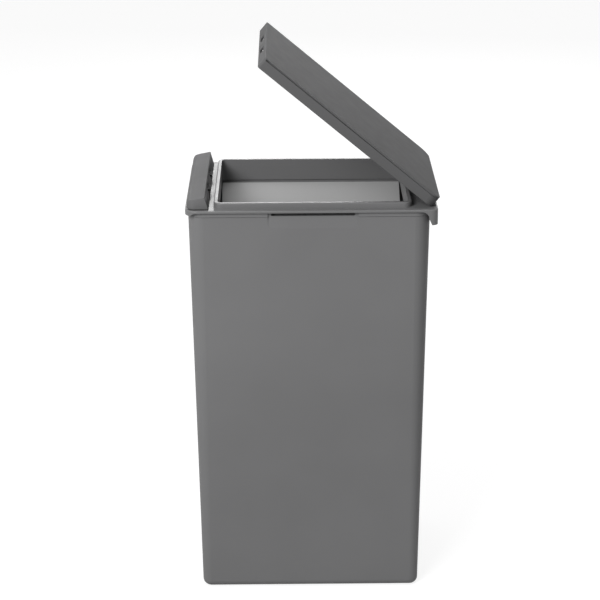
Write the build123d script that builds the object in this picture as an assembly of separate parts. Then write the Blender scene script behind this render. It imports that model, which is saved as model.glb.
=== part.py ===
from build123d import *
import os
from math import radians, tan

# Touch top waste bin, free standing, with its lid open as far as the springs hold it.
# X runs from the touch bar (-X) to the lid hinge (+X), Y across, Z up, in millimetres.
# The origin is on the floor, under the middle of the top frame.

# Driving dimensions
LENGTH = 330.0            # top frame, front to rear
WIDTH = 236.0             # top frame, side to side
LEDGE_Z = 555.0           # height of the flat ledge that the closed lid lies on
LID_OPEN_DEG = 40.0       # opening of the lid as the part is drawn
GAP = 0.4                 # room between pieces that only lie near each other

# Bin body
BODY_CENTRE_X = -2.9
BODY_HALF_LENGTH = 158.5  # outside, at the rim
BODY_HALF_WIDTH = 114.0
BODY_TOP_Z = LEDGE_Z - 3.6
BODY_DRAFT_DEG = 0.87
BODY_CORNER_R = 12.0      # outside, at the floor; the draft widens it towards the rim
BODY_WALL = 2.4
BODY_FLOOR = 3.0
BODY_FOOT_R = 10.0
RIM_PROUD = 1.0
RIM_BAND = 6.0
RIM_CORNER_R = 21.0
FOOT_GROOVE = 1.2

# Finger grips, one scoop in each long side under the frame
GRIP_CENTRE_X = 2.0
GRIP_LENGTH = 118.0
GRIP_HEIGHT = 21.5
GRIP_DEPTH = 1.5
GRIP_CORNER_R = 8.0
GRIP_SLOT_LENGTH = 109.0
GRIP_SLOT_HEIGHT = 4.8

# Top frame
PLATE = 3.2
FRAME_CORNER_R = 16.0     # at the front
FRAME_REAR_CORNER_R = 9.0
FRAME_EDGE_R = 1.4
FRONT_LIP_DROP = 7.0
FRONT_LIP = 1.7
REAR_SKIRT_DROP = 21.0
REAR_SKIRT_WALL = 2.2
REAR_SKIRT_FRONT_X = 144.0
REAR_SKIRT_SWEEP_R = 9.0   # hollow that runs the skirt into the plate
REAR_SKIRT_FOOT_X = 157.0
REAR_SKIRT_HOLLOW = 4.0
SKIRT_DROP = 15.0
SKIRT_WALL = 2.2
SKIRT_CORNER_R = 18.6
COLLAR_FRONT_X = -127.6
COLLAR_REAR_X = 131.2
COLLAR_WIDTH = 215.0
COLLAR_HEIGHT = 7.5
COLLAR_RIM = 5.0
COLLAR_CORNER_R = 11.0
CHUTE_WALL = 2.2
CHUTE_DROP = 22.0
FLAP_TOP_DROP = 26.5       # the flaps start below a shallow recess
FLAP_REACH = 29.0          # how far the sloping flaps of the chute lean into the throat
FLAP_DROP = 20.0
FLAP_THICK = 2.0

# Touch bar
BAR_OUTER_X = -162.7
BAR_INNER_X = -134.5
BAR_RIDGE_X = -139.0
BAR_RIDGE_RISE = 16.8
BAR_SHOULDER_RISE = 12.2
BAR_SHOULDER_R = 5.0
BAR_FOOT_RISE = 0.6
BAR_LENGTH = 223.0
BAR_WALL = 2.0
BAR_CORNER_R = 11.0
BAR_PIVOT_X = -138.0
BAR_PIVOT_DROP = 3.0
BAR_PIN_R = 2.0
BAR_SPRING_X = -152.0
BAR_SPRING_Y = 62.0
BAR_SPRING_R = 3.4
BAR_SPRING_WIRE = 0.9
WELL_FLOOR_DROP = 16.0

# Lid
LID_FRONT_X = -131.2
LID_WIDTH = 223.0
LID_THICK = 16.0
LID_WALL = 2.0
LID_CEILING = 2.2
LID_SEAM_RISE = 13.0
GROOVE_FRONT = 2.0        # height of the side groove; it narrows towards the rear
GROOVE_REAR = 0.3
GROOVE_DEPTH = 3.0
COVER_LAP = 2.5           # the front edge of the cover, where the groove has not started
COVER_PANEL = 2.2
COVER_FRAME = 8.0
COVER_EDGE_R = 0.5
SCREW_BOSS_R = 3.4
SCREW_CORE_R = 1.2
SCREW_CORE_DEPTH = 2.2
LID_REAR_X = 163.2
LID_REAR_CORNER_R = 15.0
LID_FRONT_CORNER_R = 3.0
HINGE_X = 159.0
HINGE_RISE = 7.4
EAR_Y = 88.0
EAR_HALF = 4.0
EAR_R = 4.2
HINGE_PIN_R = 1.75
HINGE_PIN_LENGTH = 29.0
LID_SPRING_R = 2.9
LID_SPRING_WIRE = 1.2
LATCH_Y = 34.0
LATCH_SLOT = 27.0
TONGUE = 23.0
TONGUE_ROOM = 1.8         # from the tongues' tips to the closed lid
KEEPER_REACH = 14.0
KEEPER_FLANGE = 1.8
KEEPER_TAB = 1.0
RUNNING_CLEARANCE = 0.05

HALF_LENGTH = LENGTH / 2
PLATE_BOTTOM_Z = LEDGE_Z - PLATE
LID_BOTTOM_Z = LEDGE_Z + GAP
LID_TOP_Z = LID_BOTTOM_Z + LID_THICK
SEAM_Z = LID_BOTTOM_Z + LID_SEAM_RISE
HINGE_Z = LEDGE_Z + HINGE_RISE
NOSE_R = HINGE_RISE - GAP
BAR_PIVOT_Z = LEDGE_Z - BAR_PIVOT_DROP
COLLAR_CENTRE_X = (COLLAR_FRONT_X + COLLAR_REAR_X) / 2
COLLAR_LENGTH = COLLAR_REAR_X - COLLAR_FRONT_X
CEILING_Z = SEAM_Z - LID_CEILING
BAR_LEAN = (BAR_INNER_X - BAR_RIDGE_X) / (BAR_RIDGE_RISE - BAR_FOOT_RISE)


def slab(length, width, radius, bottom, top, centre_x=0.0, centre_y=0.0):
    """Upright block with a rounded rectangle as its plan."""
    plan = Pos(centre_x, centre_y, bottom) * RectangleRounded(length, width, radius)
    return extrude(plan, amount=top - bottom)


def block(x0, x1, y0, y1, z0, z1):
    """Plain block between two corners."""
    return Pos((x0 + x1) / 2, (y0 + y1) / 2, (z0 + z1) / 2) * Box(x1 - x0, y1 - y0, z1 - z0)


def bar_along_y(x, z, radius, y0, y1):
    """Round bar whose axis runs along Y."""
    return Pos(x, (y0 + y1) / 2, z) * Rot(90, 0, 0) * Cylinder(radius, y1 - y0)


def bar_along_z(x, y, radius, z0, z1):
    """Round bar whose axis runs along Z."""
    return Pos(x, y, (z0 + z1) / 2) * Cylinder(radius, z1 - z0)


def across(points, y0, y1):
    """Solid with an X-Z outline, reaching from y0 to y1."""
    outline = Polyline(*[(x, y0, z) for x, z in points], close=True)
    return extrude(make_face(outline), amount=y1 - y0, dir=(0, 1, 0))


def tapered_shell(half_length, half_width, radius, bottom, top):
    """Block that widens upwards with the draft; the sizes are those at the rim."""
    drop = BODY_TOP_Z - bottom
    shrink = drop * tan(radians(BODY_DRAFT_DEG))
    plan = Pos(BODY_CENTRE_X, 0, bottom) * RectangleRounded(
        2 * (half_length - shrink), 2 * (half_width - shrink), radius)
    return extrude(plan, amount=top - bottom, taper=-BODY_DRAFT_DEG)


def grip_scoop(side, set_in):
    """Wedge of one finger grip, deepest at the rim, moved inwards by set_in."""
    foot_z = BODY_TOP_Z - GRIP_HEIGHT
    draft = GRIP_HEIGHT * tan(radians(BODY_DRAFT_DEG))
    length = GRIP_LENGTH + 2 * set_in
    face_y = BODY_HALF_WIDTH - set_in
    wedge = [(face_y - draft, foot_z - set_in), (face_y - GRIP_DEPTH, BODY_TOP_Z + 1),
             (face_y + 9, BODY_TOP_Z + 1), (face_y + 9, foot_z - set_in)]
    outline = Polyline(*[(GRIP_CENTRE_X - length / 2, side * y, z) for y, z in wedge], close=True)
    scoop = extrude(make_face(outline), amount=length, dir=(1, 0, 0))
    window = Pos(GRIP_CENTRE_X, 0, BODY_TOP_Z - GRIP_HEIGHT / 2 + GRIP_CORNER_R / 2) * Rot(90, 0, 0)
    window = window * RectangleRounded(length, GRIP_HEIGHT + GRIP_CORNER_R + 2 * set_in, GRIP_CORNER_R)
    return scoop & extrude(window, amount=BODY_HALF_WIDTH * 2, both=True)


def bin_body():
    """Tapered bucket with a rim band, a groove in its base and two finger grips."""
    outer = tapered_shell(BODY_HALF_LENGTH, BODY_HALF_WIDTH, BODY_CORNER_R, 0, BODY_TOP_Z)
    outer = fillet(outer.faces().sort_by(Axis.Z)[0].edges(), BODY_FOOT_R)
    band = slab(2 * (BODY_HALF_LENGTH + RIM_PROUD), 2 * (BODY_HALF_WIDTH + RIM_PROUD),
                RIM_CORNER_R, BODY_TOP_Z - RIM_BAND, BODY_TOP_Z, BODY_CENTRE_X)
    band = fillet(band.faces().sort_by(Axis.Z)[0].edges(), 0.8)
    inner = tapered_shell(BODY_HALF_LENGTH - BODY_WALL, BODY_HALF_WIDTH - BODY_WALL,
                          BODY_CORNER_R - BODY_WALL, BODY_FLOOR, BODY_TOP_Z + 5)
    inner = fillet(inner.faces().sort_by(Axis.Z)[0].edges(), BODY_FOOT_R - BODY_WALL)
    for side in (-1, 1):
        inner -= grip_scoop(side, BODY_WALL)
    body = outer + band - inner
    for side in (-1, 1):
        body -= grip_scoop(side, 0.0)
        slot_y = side * (BODY_HALF_WIDTH - GRIP_DEPTH)
        body -= block(GRIP_CENTRE_X - GRIP_SLOT_LENGTH / 2, GRIP_CENTRE_X + GRIP_SLOT_LENGTH / 2,
                      slot_y - 8, slot_y + 8, BODY_TOP_Z - GRIP_SLOT_HEIGHT, BODY_TOP_Z + 1)
    groove = slab(246, 156, 16, -1, FOOT_GROOVE, BODY_CENTRE_X)
    groove -= slab(234, 144, 10, -1, FOOT_GROOVE, BODY_CENTRE_X)
    return body - groove


def frame_block(bottom, top, inset):
    """Block of the frame's plan, inset from its edge: rounder at the front than at the rear."""
    x = HALF_LENGTH - inset
    y = WIDTH / 2 - inset
    prism = block(-x, x, -y, y, bottom, top)
    prism = fillet(prism.edges().filter_by(Axis.Z).group_by(Axis.X)[-1], FRAME_REAR_CORNER_R - inset)
    return fillet(prism.edges().filter_by(Axis.Z).group_by(Axis.X)[0], FRAME_CORNER_R - inset)


def perimeter(drop, x0, x1):
    """Outside band of the frame between two stations, hanging under the plate."""
    outer = frame_block(LEDGE_Z - drop, LEDGE_Z - 1, 0)
    return outer & block(x0, x1, -WIDTH, WIDTH, 0, LEDGE_Z)


def rear_skirt():
    """Deep band round the rear end, whose front edge sweeps up to the plate on both sides."""
    outer = perimeter(REAR_SKIRT_DROP, REAR_SKIRT_FRONT_X, HALF_LENGTH)
    room = slab(2 * (BODY_HALF_LENGTH + RIM_PROUD + GAP), 2 * (BODY_HALF_WIDTH + RIM_PROUD + GAP),
                RIM_CORNER_R + GAP, 0, PLATE_BOTTOM_Z, BODY_CENTRE_X)
    sweep_z = PLATE_BOTTOM_Z - REAR_SKIRT_SWEEP_R
    sweep_x = REAR_SKIRT_FRONT_X + REAR_SKIRT_SWEEP_R
    sweep_cut = bar_along_y(REAR_SKIRT_FRONT_X, sweep_z, REAR_SKIRT_SWEEP_R, -WIDTH, WIDTH)
    sweep_cut += across([(0, 0), (REAR_SKIRT_FOOT_X, 0), (REAR_SKIRT_FOOT_X, LEDGE_Z - REAR_SKIRT_DROP),
                         (sweep_x, sweep_z), (0, sweep_z)], -WIDTH, WIDTH)
    inner_x = HALF_LENGTH - REAR_SKIRT_WALL
    hollow_half = WIDTH / 2 - SKIRT_CORNER_R - REAR_SKIRT_HOLLOW
    hollow = block(inner_x - REAR_SKIRT_HOLLOW, inner_x, -hollow_half, hollow_half, 0, PLATE_BOTTOM_Z)
    return outer - room - sweep_cut - hollow


def front_lip():
    """Shallow band that covers the body's rim at the front end."""
    outer = perimeter(FRONT_LIP_DROP, -HALF_LENGTH, -HALF_LENGTH + 20)
    room = frame_block(0, PLATE_BOTTOM_Z, FRONT_LIP)
    sweep_cut = bar_along_y(-HALF_LENGTH + 15.5, PLATE_BOTTOM_Z - 12, 12, -WIDTH, WIDTH)
    return outer - room - sweep_cut


def locating_skirt():
    """Wall that drops inside the mouth of the body and carries the well of the touch bar."""
    half_length = BODY_HALF_LENGTH - BODY_WALL - 0.8
    half_width = BODY_HALF_WIDTH - BODY_WALL - 0.8
    bottom = LEDGE_Z - SKIRT_DROP
    radius = SKIRT_CORNER_R
    outer = slab(2 * half_length, 2 * half_width, radius, bottom, LEDGE_Z - 1, BODY_CENTRE_X)
    inner = slab(2 * (half_length - SKIRT_WALL), 2 * (half_width - SKIRT_WALL), radius - SKIRT_WALL,
                 bottom - 1, LEDGE_Z, BODY_CENTRE_X)
    ring = outer - inner
    notch_half = GRIP_SLOT_LENGTH / 2 + 3
    ring -= block(GRIP_CENTRE_X - notch_half, GRIP_CENTRE_X + notch_half, -WIDTH, WIDTH,
                  BODY_TOP_Z - GRIP_SLOT_HEIGHT - 4, PLATE_BOTTOM_Z)
    for side in (-1, 1):
        ring -= grip_scoop(side, BODY_WALL + 0.8)
    floor_z = LEDGE_Z - WELL_FLOOR_DROP
    well_outer = outer & block(-HALF_LENGTH, BAR_INNER_X + 4, -WIDTH, WIDTH, 0, LEDGE_Z)
    well_floor = slab(2 * half_length, 2 * half_width, radius, floor_z, bottom, BODY_CENTRE_X)
    well_floor = well_floor & block(-HALF_LENGTH, BAR_INNER_X + 4, -WIDTH, WIDTH, 0, LEDGE_Z)
    well_room = inner & block(-HALF_LENGTH, BAR_INNER_X + 1.8, -WIDTH, WIDTH, 0, LEDGE_Z)
    well_room = well_room & block(-HALF_LENGTH, HALF_LENGTH, -WIDTH, WIDTH, bottom, LEDGE_Z)
    return ring + (well_outer - well_room) + well_floor


def bar_plan(grow, bottom, top):
    """Plan of the touch bar, rounded at its two outer corners, as an upright block."""
    x0 = BAR_OUTER_X - grow
    x1 = BAR_INNER_X + grow
    half = BAR_LENGTH / 2 + grow
    prism = block(x0, x1, -half, half, bottom, top)
    corners = prism.edges().filter_by(Axis.Z).group_by(Axis.X)[0]
    return fillet(corners, BAR_CORNER_R + grow)


def chute_flaps():
    """Sloping flaps under the chute's long walls, which lead the waste in and hold the bag's edge."""
    wall_y = COLLAR_WIDTH / 2 - COLLAR_RIM
    top_z = LEDGE_Z - FLAP_TOP_DROP
    edge_y = wall_y - FLAP_REACH
    edge_z = top_z - FLAP_DROP
    back_y = wall_y + CHUTE_WALL
    back_z = top_z + CHUTE_WALL * FLAP_DROP / FLAP_REACH
    join_z = LEDGE_Z - CHUTE_DROP + CHUTE_WALL
    section = [(back_y, join_z), (back_y + CHUTE_WALL, join_z), (back_y + CHUTE_WALL, top_z - FLAP_THICK),
               (edge_y, edge_z - FLAP_THICK), (edge_y, edge_z), (back_y, back_z)]
    start_x = COLLAR_FRONT_X + COLLAR_RIM
    flaps = Part()
    for side in (-1, 1):
        outline = Polyline(*[(start_x, side * y, z) for y, z in section], close=True)
        flaps += extrude(make_face(outline), amount=COLLAR_LENGTH - 2 * COLLAR_RIM, dir=(1, 0, 0))
    return flaps


def hinge_ears():
    """Two upright ears with bores for the lid's hinge pins."""
    ears = []
    for side in (-1, 1):
        y0 = side * EAR_Y - EAR_HALF
        y1 = side * EAR_Y + EAR_HALF
        ear = block(HINGE_X - EAR_R, HINGE_X + EAR_R, y0, y1, PLATE_BOTTOM_Z, HINGE_Z)
        ear += bar_along_y(HINGE_X, HINGE_Z, EAR_R, y0, y1)
        ears.append(ear)
    return ears


def top_frame():
    """Ring that sits on the body: ledge, collar with chute, bar well, rear skirt and hinge ears."""
    plate = frame_block(PLATE_BOTTOM_Z, LEDGE_Z, 0)
    plate = fillet(plate.faces().sort_by(Axis.Z)[-1].edges(), FRAME_EDGE_R)
    collar_top = LEDGE_Z + COLLAR_HEIGHT
    collar = slab(COLLAR_LENGTH, COLLAR_WIDTH, COLLAR_CORNER_R, PLATE_BOTTOM_Z, collar_top, COLLAR_CENTRE_X)
    collar = fillet(collar.faces().sort_by(Axis.Z)[-1].edges(), 1.5)
    chute_outer = 2 * (COLLAR_RIM - CHUTE_WALL)
    chute = slab(COLLAR_LENGTH - chute_outer, COLLAR_WIDTH - chute_outer, COLLAR_CORNER_R - chute_outer / 2,
                 LEDGE_Z - CHUTE_DROP, LEDGE_Z, COLLAR_CENTRE_X)
    groove_outer = slab(COLLAR_LENGTH - 3.6, COLLAR_WIDTH - 3.6, COLLAR_CORNER_R - 1.8,
                        0, collar_top - 2, COLLAR_CENTRE_X)
    groove_inner = slab(COLLAR_LENGTH - chute_outer, COLLAR_WIDTH - chute_outer,
                        COLLAR_CORNER_R - chute_outer / 2, 0, LEDGE_Z + 30, COLLAR_CENTRE_X)
    throat = slab(COLLAR_LENGTH - 2 * COLLAR_RIM, COLLAR_WIDTH - 2 * COLLAR_RIM,
                  COLLAR_CORNER_R - COLLAR_RIM, 0, LEDGE_Z + 30, COLLAR_CENTRE_X)
    frame = plate + rear_skirt() + front_lip() + locating_skirt() + collar + chute
    frame -= groove_outer - groove_inner
    frame -= throat
    frame += chute_flaps()
    frame -= bar_plan(0.6, PLATE_BOTTOM_Z, LEDGE_Z + 1)
    frame += bar_lug_posts()
    for ear in hinge_ears():
        frame += ear
    frame -= bar_along_y(HINGE_X, HINGE_Z, HINGE_PIN_R + RUNNING_CLEARANCE, -WIDTH, WIDTH)
    for side in (-1, 1):
        frame += spring_seat(side)
    return frame


def bar_lug_posts():
    """Posts on the well's floor that hold the two pivot pins of the touch bar."""
    posts = Part()
    for side in (-1, 1):
        y0 = side * (BAR_LENGTH / 2 - 16)
        y1 = y0 - side * 6
        post = block(BAR_PIVOT_X - 3.6, BAR_PIVOT_X + 3.6, min(y0, y1), max(y0, y1),
                     LEDGE_Z - WELL_FLOOR_DROP, BAR_PIVOT_Z)
        post += bar_along_y(BAR_PIVOT_X, BAR_PIVOT_Z, 3.6, min(y0, y1), max(y0, y1))
        posts += post - bar_along_y(BAR_PIVOT_X, BAR_PIVOT_Z, BAR_PIN_R, -WIDTH, WIDTH)
    return posts


def spring_seat(side):
    """Short spigot on the well's floor that centres a return spring."""
    spigot_r = BAR_SPRING_R - BAR_SPRING_WIRE - 0.3
    floor_z = LEDGE_Z - SKIRT_DROP
    return bar_along_z(BAR_SPRING_X, side * BAR_SPRING_Y, spigot_r, floor_z - 0.5, floor_z + 3)


def bar_profile(inset, foot):
    """Section of the touch bar, inset from its outside, with its foot at the given height."""
    x0 = BAR_OUTER_X + inset
    shoulder = LEDGE_Z + BAR_SHOULDER_RISE - inset * 0.8
    ridge = LEDGE_Z + BAR_RIDGE_RISE - inset
    ridge_x = BAR_RIDGE_X - inset * 0.9
    foot_x = BAR_INNER_X - inset * 1.05 - BAR_LEAN * (foot - LEDGE_Z - BAR_FOOT_RISE)
    prism = across([(x0, foot), (x0, shoulder), (ridge_x, ridge), (foot_x, foot)], -BAR_LENGTH, BAR_LENGTH)
    outer_edges = prism.edges().filter_by(Axis.Y).group_by(Axis.X)[0]
    return fillet(outer_edges.sort_by(Axis.Z)[-1], BAR_SHOULDER_R - inset * 0.8)


def touch_bar():
    """Hollow rocking bar with two windows for the latch plate's tongues and its pivot lugs."""
    foot = LEDGE_Z + BAR_FOOT_RISE
    outer = bar_profile(0, foot) & bar_plan(0, foot - 1, LEDGE_Z + 30)
    inner = bar_profile(BAR_WALL, foot - 1) & bar_plan(-BAR_WALL, foot - 2, LEDGE_Z + 30)
    bar = outer - inner
    for side in (-1, 1):
        y = side * LATCH_Y
        bar -= block(BAR_RIDGE_X - 3, BAR_INNER_X + 1, y - LATCH_SLOT / 2, y + LATCH_SLOT / 2,
                     LEDGE_Z + 3.4, LEDGE_Z + 11.8)
        lug_y = side * (BAR_LENGTH / 2 - 12)
        lug = block(BAR_PIVOT_X - 3.4, BAR_PIVOT_X + 1.2, lug_y - 2.5, lug_y + 2.5, BAR_PIVOT_Z, LEDGE_Z + 9)
        lug += bar_along_y(BAR_PIVOT_X, BAR_PIVOT_Z, 3.4, lug_y - 2.5, lug_y + 2.5)
        lug -= bar_along_y(BAR_PIVOT_X, BAR_PIVOT_Z, BAR_PIN_R + RUNNING_CLEARANCE, -WIDTH, WIDTH)
        bar += lug
        post_top = LEDGE_Z + 12
        post = bar_along_z(BAR_SPRING_X, side * BAR_SPRING_Y, BAR_SPRING_R + 1.6, LEDGE_Z - 1, post_top)
        post -= bar_along_z(BAR_SPRING_X, side * BAR_SPRING_Y, BAR_SPRING_R + 0.4, LEDGE_Z - 2, LEDGE_Z + 3)
        bar += post & (bar_profile(0.5, LEDGE_Z - 3))
    return bar


def latch_plate():
    """Steel strip staked behind the bar's inner face, with a tongue out of each window."""
    face_x = BAR_INNER_X - BAR_WALL * 1.05 - 0.35
    low = LEDGE_Z + 4.4
    high = LEDGE_Z + 12.4
    low_x = face_x - BAR_LEAN * (low - LEDGE_Z - BAR_FOOT_RISE)
    high_x = face_x - BAR_LEAN * (high - LEDGE_Z - BAR_FOOT_RISE)
    strip = across([(low_x, low), (high_x, high), (high_x - 1.2, high), (low_x - 1.2, low)], -56, 56)
    root_x = (low_x + high_x) / 2 - 1.0
    tip_x = LID_FRONT_X - TONGUE_ROOM
    tongue_z = LEDGE_Z + 8.4
    for side in (-1, 1):
        y = side * LATCH_Y
        strip += across([(root_x, tongue_z), (tip_x - 2.2, tongue_z), (tip_x, tongue_z - 1.2),
                         (tip_x, tongue_z - 2.0), (tip_x - 2.2, tongue_z - 1.4), (root_x, tongue_z - 1.4)],
                        y - TONGUE / 2, y + TONGUE / 2)
    return strip


def bar_pivot_pin(side):
    """Steel pin, pressed in a post of the well, that the bar rocks on."""
    y0 = side * (BAR_LENGTH / 2 - 22)
    y1 = side * (BAR_LENGTH / 2 - 9)
    return bar_along_y(BAR_PIVOT_X, BAR_PIVOT_Z, BAR_PIN_R, min(y0, y1), max(y0, y1))


def coil(radius, wire, pitch, turns):
    """Round wire wound as a helix about Z, from the origin upwards."""
    path = Helix(pitch, pitch * turns, radius)
    section = Plane(origin=path @ 0, z_dir=path % 0) * Circle(wire / 2)
    return sweep(section, path=path, is_frenet=True)


def bar_return_spring(side):
    """Compression spring between the well's floor and the bar."""
    bottom = LEDGE_Z - SKIRT_DROP + BAR_SPRING_WIRE / 2 + 0.05
    top = LEDGE_Z + 3 - BAR_SPRING_WIRE / 2 - 0.05
    turns = 5
    spring = coil(BAR_SPRING_R - BAR_SPRING_WIRE / 2, BAR_SPRING_WIRE, (top - bottom) / turns, turns)
    return Pos(BAR_SPRING_X, side * BAR_SPRING_Y, bottom) * spring


def lid_block(bottom, top, inset):
    """Block of the closed lid's plan, inset from its edge: square at the front, round at the rear."""
    half = LID_WIDTH / 2 - inset
    prism = block(LID_FRONT_X + inset, LID_REAR_X - inset, -half, half, bottom, top)
    rear = prism.edges().filter_by(Axis.Z).group_by(Axis.X)[-1]
    prism = fillet(rear, LID_REAR_CORNER_R - inset)
    front = prism.edges().filter_by(Axis.Z).group_by(Axis.X)[0]
    return fillet(front, max(LID_FRONT_CORNER_R - inset, 0.8))


def nose_trim():
    """What is cut off the lid's rear lower corner, so that it rolls clear of the ledge."""
    corner = block(HINGE_X, HALF_LENGTH + 2, -LID_WIDTH, LID_WIDTH, LID_BOTTOM_Z - 2, HINGE_Z)
    return corner - bar_along_y(HINGE_X, HINGE_Z, NOSE_R, -LID_WIDTH, LID_WIDTH)


def lid_base():
    """Lower half of the lid: side walls, ceiling, hinge bosses and screw holes."""
    shell = lid_block(LID_BOTTOM_Z, SEAM_Z, 0)
    shell = fillet(shell.faces().sort_by(Axis.Z)[0].edges(), 0.8)
    shell -= lid_block(LID_BOTTOM_Z - 1, CEILING_Z, LID_WALL)
    for x in (-70, 0, 70):
        shell += block(x - 0.8, x + 0.8, -LID_WIDTH / 2 + 1, LID_WIDTH / 2 - 1, CEILING_Z - 1.2, CEILING_Z)
    for side in (-1, 1):
        pin_mid = side * (EAR_Y - 3.5)
        y0 = pin_mid - HINGE_PIN_LENGTH / 2
        y1 = pin_mid + HINGE_PIN_LENGTH / 2
        boss = block(HINGE_X - EAR_R, HINGE_X + EAR_R, y0, y1, HINGE_Z, CEILING_Z + 1)
        boss += bar_along_y(HINGE_X, HINGE_Z, EAR_R, y0, y1)
        shell += boss
        notch_in = side * (EAR_Y - EAR_HALF - 7.6)
        notch_out = side * (EAR_Y + EAR_HALF + 0.6)
        shell -= block(HINGE_X - EAR_R - 0.4, HALF_LENGTH + 1, min(notch_in, notch_out),
                       max(notch_in, notch_out), LID_BOTTOM_Z - 2, SEAM_Z + 1)
    shell -= bar_along_y(HINGE_X, HINGE_Z, HINGE_PIN_R, -EAR_Y - 11, -EAR_Y + 18)
    shell -= bar_along_y(HINGE_X, HINGE_Z, HINGE_PIN_R, EAR_Y - 18, EAR_Y + 11)
    shell -= nose_trim()
    for x, y in screw_places():
        shell -= bar_along_z(x, y, 1.7, CEILING_Z - 3, SEAM_Z + 1)
    for side in (-1, 1):
        y = side * LATCH_Y
        shell -= block(LID_FRONT_X - 1, LID_FRONT_X + LID_WALL + 0.5, y - LATCH_SLOT / 2,
                       y + LATCH_SLOT / 2, LID_BOTTOM_Z + 3.2, LID_BOTTOM_Z + 10.2)
    return shell


def side_groove():
    """What is cut from the cover's edge behind its front lap, higher at the front than at the rear."""
    front_x = LID_FRONT_X + COVER_LAP
    rear_x = LID_REAR_X + 1
    wedge = across([(front_x, SEAM_Z - 1), (front_x, SEAM_Z + GROOVE_FRONT), (rear_x, SEAM_Z + GROOVE_REAR),
                    (rear_x, SEAM_Z - 1)], -LID_WIDTH, LID_WIDTH)
    return wedge - lid_block(SEAM_Z - 2, LID_TOP_Z, GROOVE_DEPTH)


def lid_cover():
    """Upper half of the lid: a smooth panel on the base, with a groove under its side edges."""
    cover = lid_block(SEAM_Z, LID_TOP_Z, 0)
    cover = fillet(cover.faces().sort_by(Axis.Z)[-1].edges(), COVER_EDGE_R)
    cover -= side_groove()
    cover -= lid_block(SEAM_Z - 1, LID_TOP_Z - COVER_PANEL, COVER_FRAME)
    for x, y in screw_places():
        cover += bar_along_z(x, y, SCREW_BOSS_R, SEAM_Z, LID_TOP_Z - COVER_PANEL / 2)
        cover -= bar_along_z(x, y, SCREW_CORE_R, SEAM_Z - 1, SEAM_Z + SCREW_CORE_DEPTH)
    return cover


def screw_places():
    """Plan positions of the screws that hold the lid's cover."""
    return [(x, y) for x in (-105.0, 10.0, 125.0) for y in (-92.0, 92.0)]


def pan_screw(x, y, seat_z, shank_r, length):
    """Pan head screw, driven upwards from below, with a cross recess."""
    screw = bar_along_z(x, y, shank_r, seat_z - 0.5, seat_z + length)
    screw += bar_along_z(x, y, shank_r * 2.1, seat_z - 1.5, seat_z)
    for turn in (0, 90):
        screw -= Pos(x, y, seat_z - 1.3) * Rot(0, 0, turn) * Box(shank_r * 2.4, shank_r * 0.5, 0.8)
    return screw


def lid_cover_screws():
    """Six screws through the base's ceiling into the cover."""
    return Compound(children=[pan_screw(x, y, CEILING_Z, SCREW_CORE_R, LID_CEILING + 2.0) for x, y in screw_places()])


def keeper_screw_places():
    """Plan positions of the two screws that hold the lid's keepers."""
    return [(LID_FRONT_X + LID_WALL + 10, side * LATCH_Y) for side in (-1, 1)]


def lid_keeper(side):
    """Flange under the lid's ceiling with a thin tab behind the slot of the front wall."""
    y = side * LATCH_Y
    face_x = LID_FRONT_X + LID_WALL + 0.1
    half = LATCH_SLOT / 2 + 2
    tab_foot = LID_BOTTOM_Z + 1.4
    keeper = block(face_x, face_x + KEEPER_REACH, y - half, y + half, CEILING_Z - KEEPER_FLANGE, CEILING_Z)
    keeper += block(face_x, face_x + KEEPER_TAB, y - half, y + half, tab_foot, CEILING_Z)
    keeper -= block(face_x - 1, face_x + 3, y - TONGUE / 2, y + TONGUE / 2, LID_BOTTOM_Z + 4.2,
                    LID_BOTTOM_Z + 8.0)
    hole_x = keeper_screw_places()[0][0]
    return keeper - bar_along_z(hole_x, y, 1.3, CEILING_Z - 4, CEILING_Z + 1)


def lid_keeper_screws():
    """Two short screws that hold the keepers under the ceiling."""
    places = keeper_screw_places()
    return Compound(children=[pan_screw(x, y, CEILING_Z - KEEPER_FLANGE, 1.2, KEEPER_FLANGE) for x, y in places])


def lid_bumper(side):
    """Soft pad under the lid that lands on the collar's rim."""
    x = COLLAR_FRONT_X + 30
    y = side * (COLLAR_WIDTH / 2 - COLLAR_RIM / 2)
    pad = block(x - 7, x + 7, y - 2, y + 2, CEILING_Z - 1.6, CEILING_Z)
    return fillet(pad.edges().filter_by(Axis.Z), 1.9)


def hinge_pin(side):
    """Steel pin through a frame ear and two bosses of the lid."""
    mid = side * (EAR_Y - 3.5)
    half = HINGE_PIN_LENGTH / 2
    return bar_along_y(HINGE_X, HINGE_Z, HINGE_PIN_R, mid - half, mid + half)


def lid_spring(side):
    """Torsion spring on the hinge pin that swings the lid open."""
    turns = 4
    span = 5.6
    spring = coil(LID_SPRING_R, LID_SPRING_WIRE, span / turns, turns)
    mouth_y = side * (EAR_Y - EAR_HALF - 6.7)
    placed = Pos(HINGE_X, mouth_y, HINGE_Z) * Rot(-90 * side, 0, 0) * spring
    return placed


def opened(piece):
    """The closed lid's piece, swung open about the hinge."""
    return piece.rotate(Axis((HINGE_X, 0, HINGE_Z), (0, 1, 0)), LID_OPEN_DEG)


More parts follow.
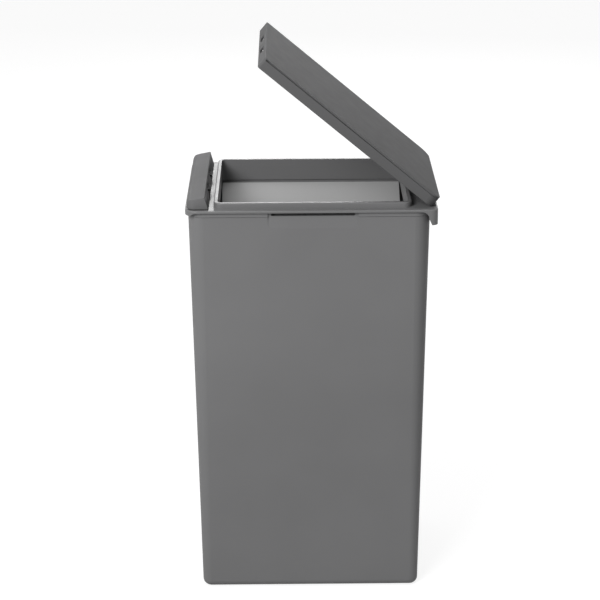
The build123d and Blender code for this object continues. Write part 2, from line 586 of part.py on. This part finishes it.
def main():
    os.makedirs("parts", exist_ok=True)
    pieces = {
        "bin_body": bin_body(),
        "top_frame": top_frame(),
        "touch_bar": touch_bar(),
        "latch_plate": latch_plate(),
        "lid_base": opened(lid_base()),
        "lid_cover": opened(lid_cover()),
        "lid_cover_screws": opened(lid_cover_screws()),
        "lid_keeper_screws": opened(lid_keeper_screws()),
    }
    for side, name in ((-1, "left"), (1, "right")):
        pieces["bar_pivot_pin_" + name] = bar_pivot_pin(side)
        pieces["bar_return_spring_" + name] = bar_return_spring(side)
        pieces["lid_keeper_" + name] = opened(lid_keeper(side))
        pieces["lid_bumper_" + name] = opened(lid_bumper(side))
        pieces["hinge_pin_" + name] = hinge_pin(side)
        pieces["lid_spring_" + name] = lid_spring(side)
    for name, piece in pieces.items():
        export_step(piece, "parts/" + name + ".step")


main()
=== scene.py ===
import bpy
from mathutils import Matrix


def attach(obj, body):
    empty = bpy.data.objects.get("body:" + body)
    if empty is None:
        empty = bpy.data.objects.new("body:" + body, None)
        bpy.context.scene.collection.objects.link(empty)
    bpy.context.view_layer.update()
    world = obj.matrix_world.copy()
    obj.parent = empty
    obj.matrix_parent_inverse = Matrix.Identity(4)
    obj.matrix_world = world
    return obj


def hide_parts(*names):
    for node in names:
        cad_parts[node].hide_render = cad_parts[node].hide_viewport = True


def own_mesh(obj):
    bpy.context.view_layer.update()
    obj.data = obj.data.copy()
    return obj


bl_info = {
    "name": "Touch top waste bin",
    "version": (1, 0, 0),
    "blender": (4, 5, 0),
    "location": "View3D > Sidebar > Waste bin",
    "description": "Finishes a touch top waste bin: moulded plastic, steel, stage, lights and camera",
    "category": "Object",
}

import math

import bmesh
import bpy
from bpy.props import FloatProperty, FloatVectorProperty, PointerProperty
from bpy.types import Operator, Panel, PropertyGroup
from mathutils import Matrix, Vector

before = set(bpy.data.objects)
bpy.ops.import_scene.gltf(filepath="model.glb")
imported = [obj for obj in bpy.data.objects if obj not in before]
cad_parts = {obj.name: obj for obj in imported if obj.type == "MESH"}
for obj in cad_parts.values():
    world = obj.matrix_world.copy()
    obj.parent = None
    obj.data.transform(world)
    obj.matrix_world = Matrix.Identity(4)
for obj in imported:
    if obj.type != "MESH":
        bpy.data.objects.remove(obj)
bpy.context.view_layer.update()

# Camera, from the lines of the bin in the photograph, in metres and degrees
CAMERA_PLACE = (-0.031, -2.464, 1.286)
CAMERA_PITCH = 20.0
CAMERA_YAW = 0.376
CAMERA_ROLL = -0.30
CAMERA_LENS_MM = 113.6
SENSOR_MM = 36.0

# Lamps: name, place, point they face, then width and height, in metres
LAMPS = (
    ("key", (-1.1, -1.7, 1.75), (0.0, 0.0, 0.4), (1.2, 1.2)),
    ("fill", (0.1, 0.2, 2.6), (0.0, 0.0, 0.4), (1.8, 1.8)),
    ("rear", (0.35, 3.0, 1.6), (0.0, 0.0, 0.55), (1.6, 0.7)),
)

# Floor: half its width, in metres, and its roughness
FLOOR_REACH = 6.0
FLOOR_ROUGHNESS = 0.9
WHITE = (1.0, 1.0, 1.0, 1.0)

# Space inside the opening that holds the sloping flaps of the top frame, where a paler colour is painted on
# as painted light, in metres
FLAP_PAINTED_LIGHT_BOX = ((-0.1224, -0.1028, 0.48), (0.1260, 0.1028, 0.5300))

# Joined copies of the CAD shells, in metres and radians
MERGE_DISTANCE = 0.000004
FLAT_ANGLE = math.radians(0.3)
CREASE_ANGLE = math.radians(32.0)
BAR_ROUNDING = 0.0005
LID_ROUNDING = 0.0004
ROUNDING_STEPS = 2
ROUND_PROFILE = 0.5

# Room that a rounded edge needs beside it and at its ends, in widths of the rounding
SIDE_ROOM = 2.5
END_ROOM = 1.5

# Tone as a share of the shell colour, roughness and gloss of each grained finish. The lid's lower tone is
# painted shade: a darker copy of the one shell plastic, standing in for the shade on the lid.
# The latch plate is painted near black and drawn without a metal sheen, as painted shade standing in for the
# shade in the slots beside the bar.
GRAINED = {
    "body_plastic": (1.18, 0.50, 0.15),
    "frame_plastic": (1.00, 0.32, 0.34),
    "bar_plastic": (0.94, 0.62, 0.06),
    # Lid darkened as painted shade
    "lid_plastic": (0.74, 0.62, 0.05),
    "keeper_plastic": (0.30, 0.70, 0.10),
    # Latch plate painted near black as painted shade
    "latch_steel": (0.12, 0.70, 0.10),
}

# Mottling of the plastic: noise scale and detail, then ramp positions with their tones
FLOW_NOISE = (5.0, 3.0)
FLOW_TONES = ((0.35, 0.96), (0.65, 1.04))

# Rub marks: noise scale and detail, part of the noise that counts, change of roughness
RUB_NOISE = (60.0, 4.0)
RUB_RANGE = (0.3, 0.7)
RUB_CHANGE = (-0.04, 0.05)

# Relief of the plastic: noise detail or scale and detail, then strength and depth in metres
GRAIN_DETAIL = 2.0
GRAIN_RELIEF = (0.16, 0.00009)
SWELL_NOISE = (14.0, 1.0)
SWELL_RELIEF = (0.05, 0.0006)

# Steel: tone as a share of the steel colour, streaks and their tones, and roughness
STEEL_TONES = {"spring_steel": 0.8, "pin_steel": 1.0, "screw_steel": 1.1}
STREAK_NOISE = (900.0, 3.0)
STREAK_TONES = ((0.3, 0.85), (0.7, 1.1))
STREAK_ROUGHNESS = (0.24, 0.42)

# Rubber: bloom and its greys, relief and roughness
BLOOM_NOISE = (300.0, 3.0)
BLOOM_TONES = ((0.3, 0.012), (0.7, 0.024))
BLOOM_RELIEF = (0.3, 0.0001)
RUBBER_ROUGHNESS = 0.8


class BinFinish(PropertyGroup):
    """Colours and grain of the bin's materials."""
    shell_colour: FloatVectorProperty(
        name="Shell colour", description="Colour of the body, frame, lid and bar",
        subtype="COLOR", size=3, min=0.0, max=1.0, default=(0.168, 0.168, 0.170))
    # Paler colour painted on the sloping flaps: painted light, standing in for light falling inside the
    # opening
    flap_painted_light_colour: FloatVectorProperty(
        name="Flap colour", description="Colour of the sloping flaps inside the opening",
        subtype="COLOR", size=3, min=0.0, max=1.0, default=(0.42, 0.42, 0.42))
    grain_size: FloatProperty(
        name="Grain size", description="Width of one grain of the moulded texture",
        unit="LENGTH", min=0.0002, max=0.01, default=0.0009)
    steel_colour: FloatVectorProperty(
        name="Steel colour", description="Colour of pins, springs and screws",
        subtype="COLOR", size=3, min=0.0, max=1.0, default=(0.52, 0.52, 0.53))


class BinStage(PropertyGroup):
    """Floor, lamps and background."""
    floor_colour: FloatVectorProperty(
        name="Floor colour", description="Colour of the floor",
        subtype="COLOR", size=3, min=0.0, max=1.0, default=(0.30, 0.30, 0.30))
    floor_glow: FloatProperty(
        name="Floor glow", description="Paleness added to the floor as the camera and reflections see it",
        min=0.0, max=1.0, default=0.80)
    key_power: FloatProperty(
        name="Key lamp", description="Power of the large lamp at the front left",
        unit="POWER", min=0.0, default=45.0)
    fill_power: FloatProperty(
        name="Fill lamp", description="Power of the lamp over the bin",
        unit="POWER", min=0.0, default=15.0)
    rear_power: FloatProperty(
        name="Rear lamp", description="Power of the wide lamp behind the bin, which lights its ledges",
        unit="POWER", min=0.0, default=17.0)
    world_level: FloatProperty(
        name="World level", description="Strength of the even light from all round",
        min=0.0, default=0.31)


class Nodes:
    """Short way to add and join shader nodes of one material."""

    def __init__(self, name):
        self.material = bpy.data.materials.new(name)
        self.material.use_nodes = True
        self.tree = self.material.node_tree
        self.shader = self.tree.nodes["Principled BSDF"]
        coordinates = self.tree.nodes.new("ShaderNodeTexCoord")
        self.place = coordinates.outputs["Object"]

    def add(self, kind, inputs=(), **settings):
        node = self.tree.nodes.new("ShaderNode" + kind)
        for key, value in settings.items():
            setattr(node, key, value)
        for key, value in dict(inputs).items():
            if isinstance(value, bpy.types.NodeSocket):
                self.tree.links.new(value, node.inputs[key])
            else:
                node.inputs[key].default_value = value
        return node

    def noise(self, scale, detail):
        texture = self.add("TexNoise", {"Vector": self.place, "Scale": scale, "Detail": detail})
        return texture.outputs["Fac"]

    def ramp(self, factor, stops):
        node = self.add("ValToRGB", {"Fac": factor})
        for element, (position, colour) in zip(node.color_ramp.elements, stops):
            element.position = position
            element.color = colour
        return node.outputs["Color"]

    def drive(self, socket, value):
        self.tree.links.new(value, self.shader.inputs[socket])

    def bump(self, height, relief, below=None):
        strength, distance = relief
        inputs = {"Height": height, "Strength": strength, "Distance": distance}
        if below is not None:
            inputs["Normal"] = below
        return self.add("Bump", inputs).outputs["Normal"]


def shade(colour, factor):
    return tuple(channel * factor for channel in colour) + (1.0,)


def inside_box(nodes, low, high):
    """1 where the surface lies within a box of the shared frame, and 0 elsewhere."""
    axes = nodes.add("SeparateXYZ", {"Vector": nodes.place})
    inside = None
    for axis, start, end in zip("XYZ", low, high):
        middle = (start + end) / 2
        reach = abs(end - start) / 2
        near = nodes.add("Math", {0: axes.outputs[axis], 1: middle, 2: reach}, operation="COMPARE").outputs[0]
        if inside is None:
            inside = near
        else:
            inside = nodes.add("Math", {0: inside, 1: near}, operation="MULTIPLY").outputs[0]
    return inside


def moulded_plastic(name, painted_light_box=None):
    """Grained moulded plastic: faint flow mottling, fine grain and soft rub marks, and inside an optional box
    a paler colour painted on as painted light.
    """
    finish = bpy.context.scene.bin_finish
    tone, roughness, gloss = GRAINED[name]
    nodes = Nodes(name)
    stops = [(place, shade(finish.shell_colour, level * tone)) for place, level in FLOW_TONES]
    hue = nodes.ramp(nodes.noise(*FLOW_NOISE), stops)
    # Painted light: inside the box the plastic takes the paler flap colour in place of light falling on the
    # flaps
    if painted_light_box:
        painted_light = tuple(finish.flap_painted_light_colour) + (1.0,)
        painted_light_mix = nodes.add("Mix", {0: inside_box(nodes, *painted_light_box), 6: hue, 7: painted_light}, data_type="RGBA")
        hue = painted_light_mix.outputs[2]
    nodes.drive("Base Color", hue)
    worn = nodes.add("MapRange", {
        "Value": nodes.noise(*RUB_NOISE), "From Min": RUB_RANGE[0], "From Max": RUB_RANGE[1],
        "To Min": roughness + RUB_CHANGE[0], "To Max": roughness + RUB_CHANGE[1]})
    nodes.drive("Roughness", worn.outputs["Result"])
    grain = nodes.noise(1.0 / finish.grain_size, GRAIN_DETAIL)
    waved = nodes.bump(nodes.noise(*SWELL_NOISE), SWELL_RELIEF)
    nodes.drive("Normal", nodes.bump(grain, GRAIN_RELIEF, waved))
    nodes.shader.inputs["Specular IOR Level"].default_value = gloss
    return nodes.material


def bright_steel(name):
    """Drawn or plated steel with faint streaks."""
    finish = bpy.context.scene.bin_finish
    nodes = Nodes(name)
    streaks = nodes.noise(*STREAK_NOISE)
    stops = [(place, shade(finish.steel_colour, level * STEEL_TONES[name])) for place, level in STREAK_TONES]
    nodes.drive("Base Color", nodes.ramp(streaks, stops))
    nodes.shader.inputs["Metallic"].default_value = 1.0
    smoothest, roughest = STREAK_ROUGHNESS
    rough = nodes.add("MapRange", {"Value": streaks, "To Min": smoothest, "To Max": roughest})
    nodes.drive("Roughness", rough.outputs["Result"])
    return nodes.material


def soft_rubber(name):
    """Matt black rubber with a faint bloom."""
    nodes = Nodes(name)
    bloom = nodes.noise(*BLOOM_NOISE)
    stops = [(place, (level, level, level, 1.0)) for place, level in BLOOM_TONES]
    nodes.drive("Base Color", nodes.ramp(bloom, stops))
    nodes.drive("Normal", nodes.bump(bloom, BLOOM_RELIEF))
    nodes.shader.inputs["Roughness"].default_value = RUBBER_ROUGHNESS
    return nodes.material


def finish_node(name, material):
    """Gives a carried-over piece its material."""
    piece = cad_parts[name]
    piece.data.materials.clear()
    piece.data.materials.append(material)
    for polygon in piece.data.polygons:
        polygon.material_index = 0


def new_piece(name, skin, material):
    """Object made of a finished mesh, which takes the one material."""
    mesh = bpy.data.meshes.new(name)
    skin.to_mesh(mesh)
    skin.free()
    mesh.materials.append(material)
    piece = bpy.data.objects.new(name, mesh)
    bpy.context.scene.collection.objects.link(piece)
    return piece


def roomy(edge, width):
    """True for an outer edge with room for a rounding of this width beside it and at its ends."""
    if not edge.is_manifold or not edge.is_convex or edge.calc_face_angle() < CREASE_ANGLE:
        return False
    ends_free = all(near.calc_length() > END_ROOM * width
                    for corner in edge.verts for near in corner.link_edges)
    sides_free = all(face.calc_area() / edge.calc_length() > SIDE_ROOM * width
                     for face in edge.link_faces)
    return ends_free and sides_free


def softened(name, body, material, width):
    """Joined copy of a carried-over shell, its sharp outer edges rounded off where there is room."""
    skin = bmesh.new()
    skin.from_mesh(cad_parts[name].data)
    bmesh.ops.remove_doubles(skin, verts=skin.verts, dist=MERGE_DISTANCE)
    bmesh.ops.dissolve_limit(skin, angle_limit=FLAT_ANGLE, use_dissolve_boundaries=False,
                             verts=skin.verts, edges=skin.edges)
    sharp = [edge for edge in skin.edges if roomy(edge, width)]
    bmesh.ops.bevel(skin, geom=sharp, offset=width, offset_type="OFFSET", segments=ROUNDING_STEPS,
                    profile=ROUND_PROFILE, affect="EDGES", clamp_overlap=False, material=-1)
    for face in skin.faces:
        face.smooth = True
    piece = new_piece(name + "_shell", skin, material)
    piece.data.set_sharp_from_angle(angle=CREASE_ANGLE)
    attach(piece, body)
    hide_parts(name)


def sprung_coil(name, material):
    """Copy of a spring under the bar."""
    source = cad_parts[name].data
    wire = bmesh.new()
    wire.from_mesh(source)
    for face in wire.faces:
        face.material_index = 0
    piece = new_piece(name + "_coil", wire, material)
    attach(piece, "frame")
    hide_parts(name)
    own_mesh(piece)


class WASTEBIN_OT_body(Operator):
    """Finishes the tapered body"""
    bl_idname = "wastebin.body"
    bl_label = "Body"

    def execute(self, context):
        finish_node("bin_body", moulded_plastic("body_plastic"))
        return {"FINISHED"}


class WASTEBIN_OT_top_frame(Operator):
    """Finishes the ring that lifts off the body, with its flaps inside the opening painted paler as painted
    light
    """
    bl_idname = "wastebin.top_frame"
    bl_label = "Top frame"

    def execute(self, context):
        finish_node("top_frame", moulded_plastic("frame_plastic", FLAP_PAINTED_LIGHT_BOX))
        return {"FINISHED"}


class WASTEBIN_OT_touch_bar(Operator):
    """Rounds the edges of the touch bar and finishes it"""
    bl_idname = "wastebin.touch_bar"
    bl_label = "Touch bar"

    def execute(self, context):
        softened("touch_bar", "bar", moulded_plastic("bar_plastic"), BAR_ROUNDING)
        return {"FINISHED"}


class WASTEBIN_OT_lid(Operator):
    """Rounds the edges of the lid's two halves and finishes them and the keepers"""
    bl_idname = "wastebin.lid"
    bl_label = "Lid"

    def execute(self, context):
        # Painted shade: the lid takes a darker copy of the shell plastic
        lid = moulded_plastic("lid_plastic")
        softened("lid_base", "lid", lid, LID_ROUNDING)
        softened("lid_cover", "lid", lid, LID_ROUNDING)
        keeper = moulded_plastic("keeper_plastic")
        finish_node("lid_keeper_left", keeper)
        finish_node("lid_keeper_right", keeper)
        return {"FINISHED"}


class WASTEBIN_OT_hardware(Operator):
    """Finishes the pins, springs, screws, latch plate and pads"""
    bl_idname = "wastebin.hardware"
    bl_label = "Springs, pins and screws"

    def execute(self, context):
        spring = bright_steel("spring_steel")
        pin = bright_steel("pin_steel")
        screw = bright_steel("screw_steel")
        # Painted shade: the latch plate takes a near-black matt finish in place of its steel
        latch = moulded_plastic("latch_steel")
        rubber = soft_rubber("soft_rubber")
        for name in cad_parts:
            if name.startswith("bar_return_spring"):
                sprung_coil(name, spring)
            elif "spring" in name:
                finish_node(name, spring)
            elif name == "latch_plate":
                finish_node(name, latch)
            elif "pin" in name:
                finish_node(name, pin)
            elif "screws" in name:
                finish_node(name, screw)
            elif "bumper" in name:
                finish_node(name, rubber)
        return {"FINISHED"}


def lamp(name, place, target, size, power):
    """Area lamp of the given width and height that faces a point and isn't seen itself."""
    data = bpy.data.lights.new(name, "AREA")
    data.shape = "RECTANGLE"
    data.size, data.size_y = size
    data.energy = power
    holder = bpy.data.objects.new(name, data)
    bpy.context.scene.collection.objects.link(holder)
    holder.location = place
    holder.rotation_euler = (Vector(target) - Vector(place)).to_track_quat("-Z", "Y").to_euler()
    holder.visible_camera = False


def seen_rays(tree):
    """1 for the camera's rays and for those seen in reflections or through clear parts."""
    path = tree.nodes.new("ShaderNodeLightPath")
    seen = path.outputs["Is Camera Ray"]
    for kind in ("Is Glossy Ray", "Is Transmission Ray"):
        either = tree.nodes.new("ShaderNodeMath")
        either.operation = "MAXIMUM"
        tree.links.new(seen, either.inputs[0])
        tree.links.new(path.outputs[kind], either.inputs[1])
        seen = either.outputs[0]
    return seen


def pale_world(level):
    """Even light of the given level that the camera and reflections see as white."""
    world = bpy.data.worlds.new("studio")
    world.use_nodes = True
    tree = world.node_tree
    tree.nodes.clear()
    strength = tree.nodes.new("ShaderNodeMapRange")
    strength.inputs["To Min"].default_value = level
    strength.inputs["To Max"].default_value = 1.0
    tree.links.new(seen_rays(tree), strength.inputs["Value"])
    background = tree.nodes.new("ShaderNodeBackground")
    background.inputs["Color"].default_value = WHITE
    tree.links.new(strength.outputs["Result"], background.inputs["Strength"])
    output = tree.nodes.new("ShaderNodeOutputWorld")
    tree.links.new(background.outputs[0], output.inputs["Surface"])
    bpy.context.scene.world = world


def pale_floor(stage):
    """Floor that takes the bin's shadow and looks pale to the camera and in reflections."""
    nodes = Nodes("floor_paint")
    nodes.shader.inputs["Base Color"].default_value = tuple(stage.floor_colour) + (1.0,)
    nodes.shader.inputs["Roughness"].default_value = FLOOR_ROUGHNESS
    nodes.shader.inputs["Emission Color"].default_value = WHITE
    glow = nodes.add("Math", {0: seen_rays(nodes.tree), 1: stage.floor_glow}, operation="MULTIPLY")
    nodes.drive("Emission Strength", glow.outputs[0])
    ground = bmesh.new()
    bmesh.ops.create_grid(ground, x_segments=1, y_segments=1, size=FLOOR_REACH)
    floor = new_piece("floor", ground, nodes.material)


def photo_camera():
    """Camera that sees the bin as the photograph does."""
    data = bpy.data.cameras.new("camera")
    data.sensor_width = SENSOR_MM
    data.lens = CAMERA_LENS_MM
    camera = bpy.data.objects.new("camera", data)
    bpy.context.scene.collection.objects.link(camera)
    camera.location = CAMERA_PLACE
    turn = Matrix.Rotation(math.radians(-CAMERA_YAW), 4, "Z")
    turn = turn @ Matrix.Rotation(math.radians(90.0 - CAMERA_PITCH), 4, "X")
    turn = turn @ Matrix.Rotation(math.radians(CAMERA_ROLL), 4, "Z")
    camera.rotation_euler = turn.to_euler()
    bpy.context.scene.camera = camera


class WASTEBIN_OT_stage(Operator):
    """Makes the floor, the lamps, the background and the camera"""
    bl_idname = "wastebin.stage"
    bl_label = "Stage, lamps and camera"

    def execute(self, context):
        stage = context.scene.bin_stage
        pale_floor(stage)
        for name, place, target, size in LAMPS:
            lamp(name + "_lamp", place, target, size, getattr(stage, name + "_power"))
        pale_world(stage.world_level)
        photo_camera()
        context.scene.view_settings.view_transform = "Standard"
        return {"FINISHED"}


class WASTEBIN_PT_panel(Panel):
    """Lists the steps that finish the bin"""
    bl_idname = "WASTEBIN_PT_panel"
    bl_label = "Waste bin"
    bl_space_type = "VIEW_3D"
    bl_region_type = "UI"
    bl_category = "Waste bin"

    def draw(self, context):
        for step in STEPS:
            self.layout.operator(step.bl_idname)
        for group in (context.scene.bin_finish, context.scene.bin_stage):
            for name in type(group).__annotations__:
                self.layout.prop(group, name)


STEPS = (WASTEBIN_OT_body, WASTEBIN_OT_top_frame, WASTEBIN_OT_touch_bar, WASTEBIN_OT_lid,
         WASTEBIN_OT_hardware, WASTEBIN_OT_stage)
CLASSES = (BinFinish, BinStage) + STEPS + (WASTEBIN_PT_panel,)


def register():
    for item in CLASSES:
        bpy.utils.register_class(item)
    bpy.types.Scene.bin_finish = PointerProperty(type=BinFinish)
    bpy.types.Scene.bin_stage = PointerProperty(type=BinStage)


def unregister():
    del bpy.types.Scene.bin_stage
    del bpy.types.Scene.bin_finish
    for item in reversed(CLASSES):
        bpy.utils.unregister_class(item)


def main():
    register()
    bpy.ops.wastebin.body()
    bpy.ops.wastebin.top_frame()
    bpy.ops.wastebin.touch_bar()
    bpy.ops.wastebin.lid()
    bpy.ops.wastebin.hardware()
    bpy.ops.wastebin.stage()


if __name__ == "__main__":
    main()
